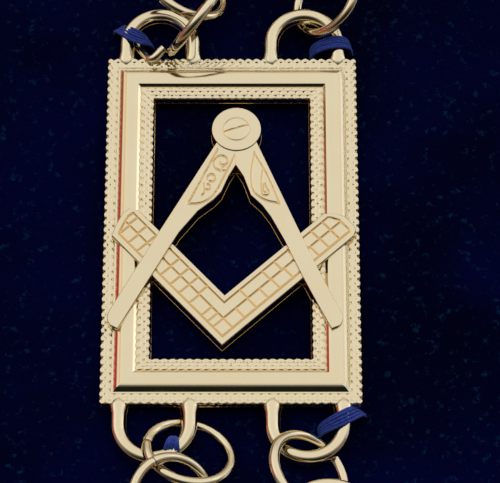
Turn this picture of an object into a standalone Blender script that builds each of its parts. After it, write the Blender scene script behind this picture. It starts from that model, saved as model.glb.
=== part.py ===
"""Chain of office: a velvet collar band, and on it a closed chain of twelve openwork plates.

Each plate is a moulded rectangular frame with four cast loops, and a square and compasses that lies
over its window. Two rows of round jump rings join the plates, three rings in each row of each gap. A
larger ring joins the two halves at the front point. The collar lies flat, the nape towards +Y and the
front point towards -Y, symmetrical about X = 0. Lengths are in metres, +Z is up, and z = 0 is the
surface that the collar lies on.

Three frames of reference are used. The collar's own has its origin in the middle of the bounding box.
A plate's has its origin in the middle of the frame's back face, +Y towards the compasses' head, which
is also the way to the nape. The emblem's is the plate's, raised to the emblem's back and turned by
EMBLEM_TURN, because the casting sits a little askew.
"""

from collections import namedtuple
from math import ceil, cos, pi, radians, sin

import bmesh
import bpy
from mathutils import Matrix, Vector

MM = 0.001
SHARP_FROM = radians(38)  # edges that turn more than this are drawn sharp

# Band of velvet
BAND_WIDTH = 100 * MM
BAND_THICKNESS = 2.4 * MM
BAND_EDGE = 0.7 * MM  # the rounded edge, as a chamfer
NECK_RADIUS = 135 * MM  # of the band's centre line, round the nape
POINT_ANGLE = radians(28)  # between each straight limb and the collar's axis
NAPE_STEP = radians(8)

# Chain
PLATES_PER_SIDE = 6
PLATE_PITCH = 80.5 * MM  # along the band's centre line
PLATE_FLOAT = 2.5 * MM  # from the velvet to the back of a frame, where rings pass under its loops
ROW_OFFSET = 9.9 * MM  # of each row of rings from the centre line
SIDES = {"left": -1, "right": 1}
SHOWN_SIDE, SHOWN_PLATE = "right", 5  # the rings above and below this plate are single nodes
SHOWN_GAPS = (("right", 4), ("right", 5))

# Frame
FRAME_WIDTH = 34 * MM
FRAME_LENGTH = 51.6 * MM
FRAME_BACK = 0.0
BEAD_LEVEL = 1.15 * MM
CROWN_LEVEL = 1.8 * MM
INNER_BEAD_LEVEL = 1.4 * MM
BAR_WIDTH = 6.4 * MM

# Cast loops
LOOP_RADIUS = 4.6 * MM  # of the middle of the wire
LOOP_WIRE = 2.0 * MM  # the wire's width
LOOP_THICKNESS = 1.4 * MM
LOOP_LIMB = 2.6 * MM  # straight part outside the frame
LOOP_ROOT = 0.9 * MM  # straight part inside the frame's metal
LOOP_STEPS = 6

# Emblem
EMBLEM_GAP = 0.3 * MM  # over the crown of the frame
EMBLEM_TURN = radians(-2.5)
SQUARE_CORNER = (-0.3 * MM, -18.6 * MM)
SQUARE_ARM_WIDTH = 5.16 * MM
SQUARE_ARMS = {"left": 23.5 * MM, "right": 24.5 * MM}
SQUARE_THICKNESS = 1.5 * MM
SQUARE_END_CUT = 0.7 * MM
HEAD_CENTRE = (0.0, 13.5 * MM)
HEAD_RADIUS = 3.26 * MM
HEAD_THICKNESS = 2.3 * MM
HEAD_SIDES = 12
LEG_SPREAD = radians(25.9)
LEG_OFFSET = 0.8 * MM  # of a leg's axis from the middle of the head
LEGS = {"left": 33.4 * MM, "right": 31.8 * MM}
LEG_TOP_WIDTH = 2.5 * MM
LEG_TIP_WIDTH = 2.2 * MM
LEG_THICKNESS = 2.0 * MM
SHOULDER_THICKNESS = 1.8 * MM

# Jump rings
RING_RADIUS = 5.5 * MM  # of the middle of the wire
RING_WIRE = 0.7 * MM  # the wire's radius
RING_SIDES = (14, 5)
RUN_SIDES = (9, 4)
RUN_END_LEAN = radians(26)  # about the row's line
RUN_END_RISE = 0.08 * MM  # over the middle of the loops' thickness
RUN_MIDDLE_LEAN = radians(16)  # less than the end rings', so that they touch where they cross
RUN_HIGH_LEAN = radians(3)  # of a middle ring that has to ride up over the loops
RUN_SPIN = radians(11)  # turns each ring's facets on from the ring before
RUN_END_OFFSET = 3.85 * MM  # of an end ring from the middle of its loop's arc, in the closest gap
RUN_CLOSEST = 19.2 * MM  # between the two loops' arcs, in the closest gap
RUN_GIVE = 0.19  # how much of a wider gap each end ring takes up
RUN_RIDE_UP = 24.2 * MM  # in a closer gap than this, the middle ring rides up by half of what is missing

# Ring at the front point
POINT_RING_RADIUS = 11.8 * MM
POINT_RING_WIRE = 1.1 * MM
POINT_RING_RAISE = 0.3 * MM  # of this ring and the last small ones, over the loops' level
POINT_LAST_LEAN = radians(28)
POINT_RING_ABOVE_TIP = 26 * MM  # its middle, above the centre lines' meeting point
POINT_RING_CLEAR = 2.1 * MM  # between its wire and that of a small ring that passes through it
POINT_RING_SIDES = (20, 6)
POINT_ROW_OFFSET = 5.6 * MM  # of the first ring of a row from the middle of its loop's arc
POINT_ROW_STEP = 9.4 * MM  # the most from one ring of the row to the next

BAND_RIM = BAND_WIDTH / 2
NAPE_ARC = pi / 2 + POINT_ANGLE
NAPE_LENGTH = NECK_RADIUS * NAPE_ARC
TIP_DISTANCE = (NECK_RADIUS + BAND_RIM) / sin(POINT_ANGLE)
NECK_CENTRE_Y = (TIP_DISTANCE - NECK_RADIUS - BAND_RIM) / 2
PLATE_Z = BAND_THICKNESS + PLATE_FLOAT

Pose = namedtuple("Pose", "name x y z azimuth lean")
# The jump rings beside the shown plate, as they lie. x and y are from the plate's middle, z is above the
# velvet, all in millimetres. azimuth is the way that the ring's level diameter points, from the plate's
# +X, and lean is how far the diameter across it rises, both in degrees.
RING_POSES = (
    Pose("5_inner_1", -5.3, -32.6, 3.7, -28, -28),
    Pose("5_inner_2", -7.4, -39.8, 5.2, 62, 32),
    Pose("5_inner_3", -9.6, -46.0, 3.75, -75, 32),
    Pose("5_outer_1", 10.0, -35.5, 4.1, 109, -143),
    Pose("5_outer_2", 12.7, -42.0, 5.0, -13, -17),
    Pose("5_outer_3", 10.3, -46.9, 4.5, -126, 139),
    Pose("4_inner_3", -5.0, 30.3, 6.25, 57, 111),
    Pose("4_inner_2", -6.2, 36.0, 4.9, -51, -34),
    Pose("4_inner_1", -8.05, 45.05, 3.7, -87, 33),
    Pose("4_outer_3", 13.06, 35.06, 4.51, -93.3, 43.1),
    Pose("4_outer_2", 11.57, 43.36, 5.21, 30.4, 11),
    Pose("4_outer_1", 7.97, 47.37, 5.43, -79.8, -45.1),
)


def clear_scene():
    for obj in list(bpy.data.objects):
        bpy.data.objects.remove(obj, do_unlink=True)


def material(name, colour, roughness, metallic):
    made = bpy.data.materials.new(name)
    made.use_nodes = True
    shader = made.node_tree.nodes["Principled BSDF"]
    shader.inputs["Base Color"].default_value = (*colour, 1.0)
    shader.inputs["Roughness"].default_value = roughness
    shader.inputs["Metallic"].default_value = metallic
    return made


def add_object(name, mesh, finish, matrix=None):
    if not mesh.materials:
        mesh.materials.append(finish)
        mesh.shade_smooth()
        mesh.set_sharp_from_angle(angle=SHARP_FROM)
    obj = bpy.data.objects.new(name, mesh)
    bpy.context.scene.collection.objects.link(obj)
    if matrix is not None:
        obj.matrix_world = matrix
    return obj


def mesh_from(name, points, faces):
    mesh = bpy.data.meshes.new(name)
    mesh.from_pydata(points, [], faces)
    bm = bmesh.new()
    bm.from_mesh(mesh)
    bmesh.ops.recalc_face_normals(bm, faces=bm.faces)
    bm.to_mesh(mesh)
    bm.free()
    return mesh


def closed_strip(name, sections):
    """A closed tube: each section is a closed loop of points, and the last section joins the first."""
    count, sides = len(sections), len(sections[0])
    points = [point for section in sections for point in section]
    faces = []
    for i in range(count):
        after = (i + 1) % count
        for j in range(sides):
            k = (j + 1) % sides
            faces.append((i * sides + j, i * sides + k, after * sides + k, after * sides + j))
    return mesh_from(name, points, faces)


def capped_strip(name, sections):
    """A tube with a flat cap over its first and its last section."""
    count, sides = len(sections), len(sections[0])
    points = [point for section in sections for point in section]
    faces = [tuple(range(sides)), tuple((count - 1) * sides + j for j in range(sides))]
    for i in range(count - 1):
        for j in range(sides):
            k = (j + 1) % sides
            faces.append((i * sides + j, i * sides + k, (i + 1) * sides + k, (i + 1) * sides + j))
    return mesh_from(name, points, faces)


def prism(name, outline, bottom, top):
    """An outline of (x, y) points, extruded from bottom to top."""
    return capped_strip(name, [[(x, y, z) for x, y in outline] for z in (bottom, top)])


def union(name, meshes):
    """One closed mesh from several that overlap."""
    whole = bpy.data.objects.new(name, meshes[0])
    bpy.context.scene.collection.objects.link(whole)
    helpers = []
    for mesh in meshes[1:]:
        helper = bpy.data.objects.new(mesh.name, mesh)
        helper.hide_render = True
        helper.display_type = "WIRE"
        bpy.context.scene.collection.objects.link(helper)
        helpers.append(helper)
        join = whole.modifiers.new("join", "BOOLEAN")
        join.operation = "UNION"
        join.solver = "EXACT"
        join.object = helper
    bpy.context.view_layer.update()
    evaluated = whole.evaluated_get(bpy.context.evaluated_depsgraph_get())
    joined = bpy.data.meshes.new_from_object(evaluated)
    joined.name = name
    for obj in [whole, *helpers]:
        bpy.data.objects.remove(obj, do_unlink=True)
    return joined


def band_section(point_at):
    """The band's cross-section, where point_at(radius) is the place of the line at that radius."""
    inner, outer = NECK_RADIUS - BAND_RIM, NECK_RADIUS + BAND_RIM
    corners = (
        (inner, BAND_EDGE),
        (inner, BAND_THICKNESS - BAND_EDGE),
        (inner + BAND_EDGE, BAND_THICKNESS),
        (outer - BAND_EDGE, BAND_THICKNESS),
        (outer, BAND_THICKNESS - BAND_EDGE),
        (outer, BAND_EDGE),
        (outer - BAND_EDGE, 0.0),
        (inner + BAND_EDGE, 0.0),
    )
    return [(*point_at(radius), z) for radius, z in corners]


def band_mesh():
    """The nape's sections by angle, then the front point's, where the two limbs meet on the axis."""

    def on_arc(angle):
        return lambda radius: (radius * sin(angle), NECK_CENTRE_Y + radius * cos(angle))

    def on_axis(radius):
        return (0.0, NECK_CENTRE_Y - radius / sin(POINT_ANGLE))

    angles = [i * NAPE_STEP for i in range(int(NAPE_ARC / NAPE_STEP) + 1)] + [NAPE_ARC]
    right = [band_section(on_arc(angle)) for angle in angles]
    left = [band_section(on_arc(-angle)) for angle in reversed(angles[1:])]
    return closed_strip("backing", right + [band_section(on_axis)] + left)


def plate_matrix(distance, side):
    """A plate's place: distance is along the centre line from the nape, side is 1 for +X or -1 for -X."""
    angle = min(distance / NECK_RADIUS, NAPE_ARC)
    beyond = max(distance - NAPE_LENGTH, 0.0)
    along = Vector((side * cos(angle), -sin(angle), 0.0))
    place = Vector((side * NECK_RADIUS * sin(angle), NECK_CENTRE_Y + NECK_RADIUS * cos(angle), PLATE_Z))
    place += along * beyond
    up = -along
    across = Vector((up.y, -up.x, 0.0))
    turn = Matrix((across, up, Vector((0.0, 0.0, 1.0)))).transposed()
    return Matrix.Translation(place) @ turn.to_4x4()


def frame_mesh():
    """The moulding carried round the four mitred corners, with the loops joined to it."""
    profile = (  # distance in from the outer edge, height
        (0.0, FRAME_BACK),
        (0.0, BEAD_LEVEL),
        (1.55 * MM, BEAD_LEVEL),
        (1.95 * MM, 1.68 * MM),
        (3.2 * MM, CROWN_LEVEL),
        (4.5 * MM, 1.66 * MM),
        (4.8 * MM, INNER_BEAD_LEVEL),
        (BAR_WIDTH, INNER_BEAD_LEVEL),
        (BAR_WIDTH, FRAME_BACK),
    )
    corners = ((1, 1), (-1, 1), (-1, -1), (1, -1))
    sections = []
    for right, up in corners:
        sections.append(
            [
                (right * (FRAME_WIDTH / 2 - inset), up * (FRAME_LENGTH / 2 - inset), z)
                for inset, z in profile
            ]
        )
    moulding = closed_strip("moulding", sections)
    loops = [loop_mesh(row * ROW_OFFSET, end) for row in (-1, 1) for end in (-1, 1)]
    return union("frame", [moulding, *loops])


def loop_mesh(middle, end):
    """A U of flat-backed wire; end is 1 at the plate's head and -1 at its foot."""
    edge = FRAME_LENGTH / 2
    path = [(-LOOP_RADIUS, edge - LOOP_ROOT, -1.0, 0.0)]
    for i in range(LOOP_STEPS + 1):
        angle = pi - pi * i / LOOP_STEPS
        path.append(
            (
                LOOP_RADIUS * cos(angle),
                edge + LOOP_LIMB + LOOP_RADIUS * sin(angle),
                cos(angle),
                sin(angle),
            )
        )
    path.append((LOOP_RADIUS, edge - LOOP_ROOT, 1.0, 0.0))
    section = (  # outwards, height
        (-0.5 * LOOP_WIRE, 0.05 * MM),
        (-0.32 * LOOP_WIRE, LOOP_THICKNESS),
        (0.32 * LOOP_WIRE, LOOP_THICKNESS),
        (0.5 * LOOP_WIRE, 0.05 * MM),
    )
    sections = []
    for x, y, out_x, out_y in path:
        sections.append(
            [(middle + x + out * out_x, end * (y + out * out_y), z) for out, z in section]
        )
    return capped_strip("loop", sections)


def emblem_mesh():
    parts = [square_mesh()]
    for side in ("left", "right"):
        parts.append(leg_mesh(side))
        parts.append(shoulder_mesh(side))
    parts.append(head_mesh())
    return union("emblem", parts)


def square_mesh():
    """Two arms at right angles. Each arm's outer edge runs from the corner at 45 degrees."""
    corner = Vector(SQUARE_CORNER)
    left = Vector((-1, 1)).normalized()
    right = Vector((1, 1)).normalized()
    left_end = corner + left * SQUARE_ARMS["left"]
    right_end = corner + right * SQUARE_ARMS["right"]
    cut, width = SQUARE_END_CUT, SQUARE_ARM_WIDTH
    outline = (
        corner,
        right_end - right * cut,
        right_end + left * cut,
        right_end + left * (width - cut),
        right_end + left * width - right * cut,
        corner + (left + right) * width,
        left_end + right * width - left * cut,
        left_end + right * (width - cut),
        left_end + right * cut,
        left_end - left * cut,
    )
    return prism("square", [tuple(point) for point in outline], 0.0, SQUARE_THICKNESS)


def leg_axis(side):
    """(start, direction down the leg, direction outwards across it) of a leg of the compasses."""
    sign = -1 if side == "left" else 1
    start = Vector(HEAD_CENTRE) + Vector((sign * LEG_OFFSET, 0.0))
    down = Vector((sign * sin(LEG_SPREAD), -cos(LEG_SPREAD)))
    outwards = Vector((sign * cos(LEG_SPREAD), sin(LEG_SPREAD)))
    return start, down, outwards


def leg_mesh(side):
    """A tapering bar with a chisel tip, longer at its outer edge."""
    start, down, outwards = leg_axis(side)
    length = LEGS[side]
    outline = (  # distance down the leg, distance outwards
        (0.0, -0.5 * LEG_TOP_WIDTH),
        (0.0, 0.5 * LEG_TOP_WIDTH),
        (length - 0.6 * MM, 0.5 * LEG_TIP_WIDTH),
        (length, 0.2 * LEG_TIP_WIDTH),
        (length, -0.2 * LEG_TIP_WIDTH),
        (length - 0.6 * MM, -0.5 * LEG_TIP_WIDTH),
    )
    points = [tuple(start + down * along + outwards * out) for along, out in outline]
    return prism("leg_" + side, points, 0.0, LEG_THICKNESS)


def shoulder_mesh(side):
    """The leaf-shaped panel on a leg's inner side, below the hinge."""
    start, down, outwards = leg_axis(side)
    outline = (  # distance down the leg, distance inwards
        (2.0 * MM, 0.0),
        (2.0 * MM, 1.4 * MM),
        (4.2 * MM, 2.6 * MM),
        (6.4 * MM, 2.9 * MM),
        (8.4 * MM, 2.4 * MM),
        (10.2 * MM, 1.3 * MM),
        (11.0 * MM, 0.6 * MM),
        (11.0 * MM, 0.0),
    )
    points = [tuple(start + down * along - outwards * inwards) for along, inwards in outline]
    return prism("shoulder_" + side, points, 0.0, SHOULDER_THICKNESS)


def head_mesh():
    x, y = HEAD_CENTRE
    turns = [2 * pi * i / HEAD_SIDES for i in range(HEAD_SIDES)]
    outline = [(x + HEAD_RADIUS * cos(turn), y + HEAD_RADIUS * sin(turn)) for turn in turns]
    return prism("head", outline, 0.0, HEAD_THICKNESS)


def ring_mesh(name, radius, wire, sides, place=None):
    """A ring of round wire in the XY plane of its own frame, moved by place."""
    around, across = sides
    place = place or Matrix.Identity(4)
    sections = []
    for i in range(around):
        turn = 2 * pi * i / around
        section = []
        for j in range(across):
            at = 2 * pi * (j + 0.5) / across
            reach = radius + wire * cos(at)
            section.append(tuple(place @ Vector((reach * cos(turn), reach * sin(turn), wire * sin(at)))))
        sections.append(section)
    return closed_strip(name, sections)


def ring_matrix(plate, pose):
    """The place of a single ring: its level diameter at azimuth, the diameter across it risen by lean."""
    middle = Vector((pose.x * MM, pose.y * MM, pose.z * MM - PLATE_FLOAT))
    turn = Matrix.Rotation(radians(pose.azimuth), 4, "Z") @ Matrix.Rotation(radians(pose.lean), 4, "X")
    return plate @ Matrix.Translation(middle) @ turn


def loop_arc(plate, row, end):
    """The middle of a loop's round end, halfway through its thickness."""
    reach = FRAME_LENGTH / 2 + LOOP_LIMB
    return plate @ Vector((row * ROW_OFFSET, end * reach, LOOP_THICKNESS / 2))


def run_mesh(name, start, finish, rings):
    """Leaning rings, joined where they cross: (distance from start to finish, rise, lean) of each."""
    along = (finish - start).normalized()
    across = Vector((0.0, 0.0, 1.0)).cross(along)
    flat = Matrix((along, across, Vector((0.0, 0.0, 1.0)))).transposed().to_4x4()
    meshes = []
    for i, (distance, rise, lean) in enumerate(rings):
        middle = start + along * distance + Vector((0.0, 0.0, rise))
        turn = Matrix.Rotation(lean, 4, "X") @ Matrix.Rotation(RUN_SPIN * i, 4, "Z")
        place = Matrix.Translation(middle) @ flat @ turn
        meshes.append(ring_mesh(f"{name}_{i}", RING_RADIUS, RING_WIRE, RUN_SIDES, place))
    return union(name, meshes)


def gap_rings(length):
    """The three rings of a row, between loop arcs that are length apart."""
    end = RUN_END_OFFSET + RUN_GIVE * (length - RUN_CLOSEST)
    rise = max(0.0, (RUN_RIDE_UP - length) / 2)
    lean = RUN_HIGH_LEAN if rise > RING_WIRE else RUN_MIDDLE_LEAN
    return (
        (end, RUN_END_RISE, RUN_END_LEAN),
        (length / 2, rise, lean),
        (length - end, RUN_END_RISE, RUN_END_LEAN),
    )


def point_rings(length):
    """The rings of a row that runs on from a last plate, where the last of them ends at length."""
    reach = length - RING_RADIUS - POINT_ROW_OFFSET
    steps = max(1, ceil(reach / POINT_ROW_STEP))
    rings = [(POINT_ROW_OFFSET, RUN_END_RISE, RUN_END_LEAN)]
    for i in range(1, steps):
        rings.append((POINT_ROW_OFFSET + reach * i / steps, 0.0, RUN_MIDDLE_LEAN))
    rings.append((POINT_ROW_OFFSET + reach, POINT_RING_RAISE, POINT_LAST_LEAN))
    return rings


def add_plates(gilt_frame, gilt_emblem):
    """Twelve plates. Returns their matrices by side and by number from the nape."""
    frame, emblem = frame_mesh(), emblem_mesh()
    lift = Matrix.Translation((0.0, 0.0, CROWN_LEVEL + EMBLEM_GAP))
    askew = lift @ Matrix.Rotation(EMBLEM_TURN, 4, "Z")
    plates = {}
    for side_name, side in SIDES.items():
        for number in range(1, PLATES_PER_SIDE + 1):
            plate = plate_matrix((number - 0.5) * PLATE_PITCH, side)
            plates[side_name, number] = plate
            add_object(f"frame_{side_name}_{number}", frame, gilt_frame, plate)
            add_object(f"emblem_{side_name}_{number}", emblem, gilt_emblem, plate @ askew)
    return plates


def gap_rows(plates, side_name, number):
    """(row name, upper loop's arc, lower loop's arc) for the two rows below a plate."""
    upper, lower = plates[side_name, number], plates[side_name, number + 1]
    outer = SIDES[side_name]
    for label, row in (("inner", -outer), ("outer", outer)):
        yield label, loop_arc(upper, row, -1), loop_arc(lower, row, 1)


def nape_rows(plates):
    """The same for the gap at the nape, between the two halves."""
    left, right = plates["left", 1], plates["right", 1]
    for label, row in (("inner", 1), ("outer", -1)):
        yield label, loop_arc(left, row, 1), loop_arc(right, -row, 1)


def add_runs(plates, finish):
    """The gaps away from the shown plate: the three rings of a row are one solid."""
    gaps = {"nape": nape_rows(plates)}
    for side_name in SIDES:
        for number in range(1, PLATES_PER_SIDE):
            if (side_name, number) not in SHOWN_GAPS:
                gaps[f"{side_name}_{number}"] = gap_rows(plates, side_name, number)
    for gap, rows in gaps.items():
        for label, start, stop in rows:
            name = f"rings_{gap}_{label}"
            mesh = run_mesh(name, start, stop, gap_rings((stop - start).length))
            add_object(name, mesh, finish)


def add_single_rings(plates, finish):
    """The rings above and below the shown plate, each a node of its own."""
    plate = plates[SHOWN_SIDE, SHOWN_PLATE]
    ring = ring_mesh("jump_ring", RING_RADIUS, RING_WIRE, RING_SIDES)
    for pose in RING_POSES:
        add_object(f"ring_{SHOWN_SIDE}_{pose.name}", ring, finish, ring_matrix(plate, pose))


def add_point_ring(plates, finish):
    """The larger ring at the front point, and the rows that run to it from the last two plates."""
    middle = Vector((0.0, NECK_CENTRE_Y - NECK_RADIUS / sin(POINT_ANGLE) + POINT_RING_ABOVE_TIP, 0.0))
    middle.z = PLATE_Z + LOOP_THICKNESS / 2
    place = Matrix.Translation(middle + Vector((0.0, 0.0, POINT_RING_RAISE)))
    mesh = ring_mesh("point_ring", POINT_RING_RADIUS, POINT_RING_WIRE, POINT_RING_SIDES, place)
    add_object("point_ring", mesh, finish)
    for side_name, side in SIDES.items():
        last = plates[side_name, PLATES_PER_SIDE]
        for label, row in (("inner", -side), ("outer", side)):
            start = loop_arc(last, row, -1)
            towards = (middle - start).normalized()
            stop = middle - towards * (POINT_RING_RADIUS - POINT_RING_WIRE - POINT_RING_CLEAR)
            name = f"rings_point_{side_name}_{label}"
            mesh = run_mesh(name, start, stop, point_rings((stop - start).length))
            add_object(name, mesh, finish)


def main():
    clear_scene()
    velvet = material("navy_velvet", (0.004, 0.006, 0.03), 0.9, 0.0)
    frame_gilt = material("gilt_frame", (0.82, 0.62, 0.30), 0.25, 1.0)
    emblem_gilt = material("gilt_emblem", (0.86, 0.68, 0.36), 0.22, 1.0)
    ring_gilt = material("gilt_wire", (0.80, 0.56, 0.24), 0.2, 1.0)
    add_object("backing", band_mesh(), velvet)
    plates = add_plates(frame_gilt, emblem_gilt)
    add_runs(plates, ring_gilt)
    add_single_rings(plates, ring_gilt)
    add_point_ring(plates, ring_gilt)


main()
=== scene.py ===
"""Chain of office, finished: gilt plates and rings lie on a navy velvet collar band.

Lengths inside the shape functions are in millimetres. A plate's own frame has its origin in the middle
of the plate's back face, +Y towards the compasses' head and +Z up. The emblem's frame is the plate's,
raised to the emblem's back and turned a little, because the casting sits askew.
"""

from collections import namedtuple
from math import ceil, cos, pi, radians, sin

import bpy
import numpy as np
from mathutils import Matrix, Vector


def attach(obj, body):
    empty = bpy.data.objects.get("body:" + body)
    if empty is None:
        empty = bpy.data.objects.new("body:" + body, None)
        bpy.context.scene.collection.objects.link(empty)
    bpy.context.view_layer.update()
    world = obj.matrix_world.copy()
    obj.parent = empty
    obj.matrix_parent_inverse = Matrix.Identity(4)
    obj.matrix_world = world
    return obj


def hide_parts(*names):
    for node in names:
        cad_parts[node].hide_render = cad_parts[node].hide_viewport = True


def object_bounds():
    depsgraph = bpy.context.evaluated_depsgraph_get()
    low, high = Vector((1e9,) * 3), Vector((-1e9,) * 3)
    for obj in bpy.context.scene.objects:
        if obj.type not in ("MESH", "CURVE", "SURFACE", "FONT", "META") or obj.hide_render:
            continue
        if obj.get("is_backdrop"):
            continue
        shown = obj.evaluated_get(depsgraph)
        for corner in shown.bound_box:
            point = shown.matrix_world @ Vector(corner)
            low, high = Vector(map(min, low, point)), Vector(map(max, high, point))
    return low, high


bl_info = {
    "name": "Chain of office",
    "version": (1, 0, 0),
    "blender": (4, 5, 0),
    "location": "View3D > Sidebar > Collar",
    "description": "Builds the velvet, plates, rings and studio of a chain of office",
    "category": "Object",
}

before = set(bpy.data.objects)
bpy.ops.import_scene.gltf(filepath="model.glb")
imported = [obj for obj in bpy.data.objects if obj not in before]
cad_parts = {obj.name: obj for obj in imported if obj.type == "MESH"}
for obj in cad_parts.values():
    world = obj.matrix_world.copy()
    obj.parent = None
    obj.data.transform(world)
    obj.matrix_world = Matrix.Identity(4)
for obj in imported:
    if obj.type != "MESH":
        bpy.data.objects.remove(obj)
CAD_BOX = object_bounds()

MM = 0.001
SIDES = {"left": -1, "right": 1}
PLATES_PER_SIDE = 6
SHOWN = ("right", 5)

# Places of the chain, as in the solid model
NECK_RADIUS = 135.0
BAND_RIM = 50.0
POINT_ANGLE = radians(28)
NAPE_ARC = pi / 2 + POINT_ANGLE
NECK_CENTRE_Y = ((NECK_RADIUS + BAND_RIM) / sin(POINT_ANGLE) - NECK_RADIUS - BAND_RIM) / 2
BACKING_TOP = 2.4
PLATE_Z = BACKING_TOP + 2.5
PLATE_PITCH = 80.5
ROW_OFFSET = 9.9

# Frame of a plate
HALF_WIDTH = 17.0
HALF_LENGTH = 25.8
BAR_WIDTH = 6.6
BEAD_LEVEL = 0.93
OUTER_BEADS_END = 1.50
INNER_BEADS_START = 4.68
INNER_BEADS_END = 6.45
SHADE_LINE_INSET = 2.61  # inset of a thin line on the crown, painted darker as shade where its slope changes
Row = namedtuple("Row", "inset offset height")  # of beads: offset is in pitches, height is a share
OUTER_ROWS = (Row(0.30, 0.0, 1.4), Row(0.80, 0.5, 1.0), Row(1.24, 0.0, 1.0))
INNER_ROWS = (Row(6.18, 0.0, 1.1), Row(5.62, 0.5, 1.0), Row(5.07, 0.0, 1.0))
LOOP_RADIUS = 4.6
LOOP_LIMB = 2.6
LOOP_THICKNESS = 1.4

# Emblem
EMBLEM_LEVEL = 0.27
EMBLEM_RISE = 0.79
EMBLEM_TURN = radians(-2.5)
SQUARE_CORNER = np.array((-0.36, -18.72))
ARM_WIDTH = 5.16
ARM_LENGTH = 22.5  # about, for spacing the stations
ARM_TOP = 1.78
LEG_TOP = 2.28
HEAD_TOP = 2.58
HEAD_CENTRE = np.array((0.06, 13.06))
HEAD_RADIUS = 3.32
FAR = 9.0  # further from a line than its groove reaches

# Rings
RING_RADIUS = 5.5
RING_WIRE = 0.7
POINT_RING_RADIUS = 11.8
POINT_RING_WIRE = 1.1
POINT_RING_ABOVE = 26.0
END_RISE = 0.08  # of an end ring over the middle of a loop's thickness
END_LEAN = 26  # in degrees, about the row's line
CLOSEST_GAP = 19.2  # between two loops' arcs
RIDE_UP_GAP = 24.2  # in a closer gap than this, the middle ring rides up
END_OFFSET = 3.85  # of an end ring from a loop's arc, in the closest gap
END_GIVE = 0.19  # how much of a wider gap each end ring takes up
POINT_ROW_OFFSET = 5.6
POINT_ROW_STEP = 9.4
POINT_RING_CLEAR = 2.1

# The last field of a shell is each point's share of painted shade in the gilding
Shell = namedtuple("Shell", "points quads rims hollow")
Pose = namedtuple("Pose", "name x y z azimuth lean cut")
# The rings beside the shown plate. x and y are from the plate's middle, z is above the backing, in mm.
# azimuth is the way of the ring's level diameter and lean is how far the diameter across it rises.
RING_POSES = (
    Pose("5_inner_1", -5.3, -32.6, 3.7, -28, -28, 200),
    Pose("5_inner_2", -7.4, -39.8, 5.2, 62, 32, 60),
    Pose("5_inner_3", -9.6, -46.0, 3.75, -75, 32, 300),
    Pose("5_outer_1", 10.0, -35.5, 4.1, 109, -143, 120),
    Pose("5_outer_2", 12.7, -42.0, 5.0, -13, -17, 20),
    Pose("5_outer_3", 10.3, -46.9, 4.5, -126, 139, 210),
    Pose("4_inner_3", -5.0, 30.3, 6.25, 57, 111, 170),
    Pose("4_inner_2", -6.2, 36.0, 4.9, -51, -34, 250),
    Pose("4_inner_1", -8.05, 45.05, 3.7, -87, 33, 80),
    Pose("4_outer_3", 13.06, 35.06, 4.51, -93.3, 43.1, 140),
    Pose("4_outer_2", 11.57, 43.36, 5.21, 30.4, 11, 330),
    Pose("4_outer_1", 7.97, 47.37, 5.43, -79.8, -45.1, 100),
)


# Places


def shift(x, y, z):
    place = np.eye(4)
    place[:3, 3] = (x, y, z)
    return place


def turn(axis, angle):
    """A turn about one axis: the other two axes' coordinates mix by the angle's cosine and sine."""
    place = np.eye(4)
    i, j = {"x": (1, 2), "y": (2, 0), "z": (0, 1)}[axis]
    place[i, i] = place[j, j] = cos(angle)
    place[i, j], place[j, i] = -sin(angle), sin(angle)
    return place


def unit(vectors):
    return vectors / np.linalg.norm(vectors, axis=-1, keepdims=True)


def carried(points, place):
    return points @ place[:3, :3].T + place[:3, 3]


def plate_place(side_name, number):
    """A plate lies on the band's centre line: along the nape's arc, then along the straight limb."""
    side = SIDES[side_name]
    distance = (number - 0.5) * PLATE_PITCH
    angle = min(distance / NECK_RADIUS, NAPE_ARC)
    beyond = max(distance - NECK_RADIUS * NAPE_ARC, 0.0)
    along = np.array((side * cos(angle), -sin(angle), 0.0))
    on_arc = (side * NECK_RADIUS * sin(angle), NECK_CENTRE_Y + NECK_RADIUS * cos(angle), PLATE_Z)
    place = np.eye(4)
    place[:3, 1] = -along
    place[:3, 0] = (-along[1], along[0], 0.0)
    place[:3, 3] = on_arc + along * beyond
    return place


def plates():
    for side_name in SIDES:
        for number in range(1, PLATES_PER_SIDE + 1):
            yield side_name, number, plate_place(side_name, number)


def loop_arc(place, row, end):
    """The middle of a loop's round end, halfway through its thickness."""
    middle = np.array((row * ROW_OFFSET, end * (HALF_LENGTH + LOOP_LIMB), LOOP_THICKNESS / 2))
    return carried(middle, place)


def level_frame(start, finish):
    """A place at start whose +X runs level towards finish."""
    along = unit(finish - start)
    place = np.eye(4)
    place[:3, 0] = along
    place[:3, 1] = (-along[1], along[0], 0.0)
    place[:3, 3] = start
    return place


# Meshes


def grid_quads(rows, columns, closed_rows=False, closed_columns=False):
    """Quads between neighbouring points of a grid that is stored row after row."""
    last_row, last_column = rows - (not closed_rows), columns - (not closed_columns)
    i, j = np.meshgrid(np.arange(last_row), np.arange(last_column), indexing="ij")
    k, m = (i + 1) % rows, (j + 1) % columns
    corners = (i * columns + j, k * columns + j, k * columns + m, i * columns + m)
    return np.stack(corners, -1).reshape(-1, 4)


def facing_out(points, quads, rims):
    """A shell with its faces outwards: six times its volume is a sum over the faces, and it is positive."""
    centred = points - points.mean(0)
    a, b, c, d = (centred[quads[:, i]] for i in range(4))
    volume = np.einsum("ij,ij->", a, np.cross(b, c) + np.cross(c, d))
    for rim in rims:
        loop = centred[rim]
        volume += np.einsum("j,ij->", loop[0], np.cross(loop[:-1], loop[1:]))
    if volume < 0:
        quads, rims = quads[:, ::-1], [rim[::-1] for rim in rims]
    return Shell(points, quads, rims, np.zeros(len(points)))


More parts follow.
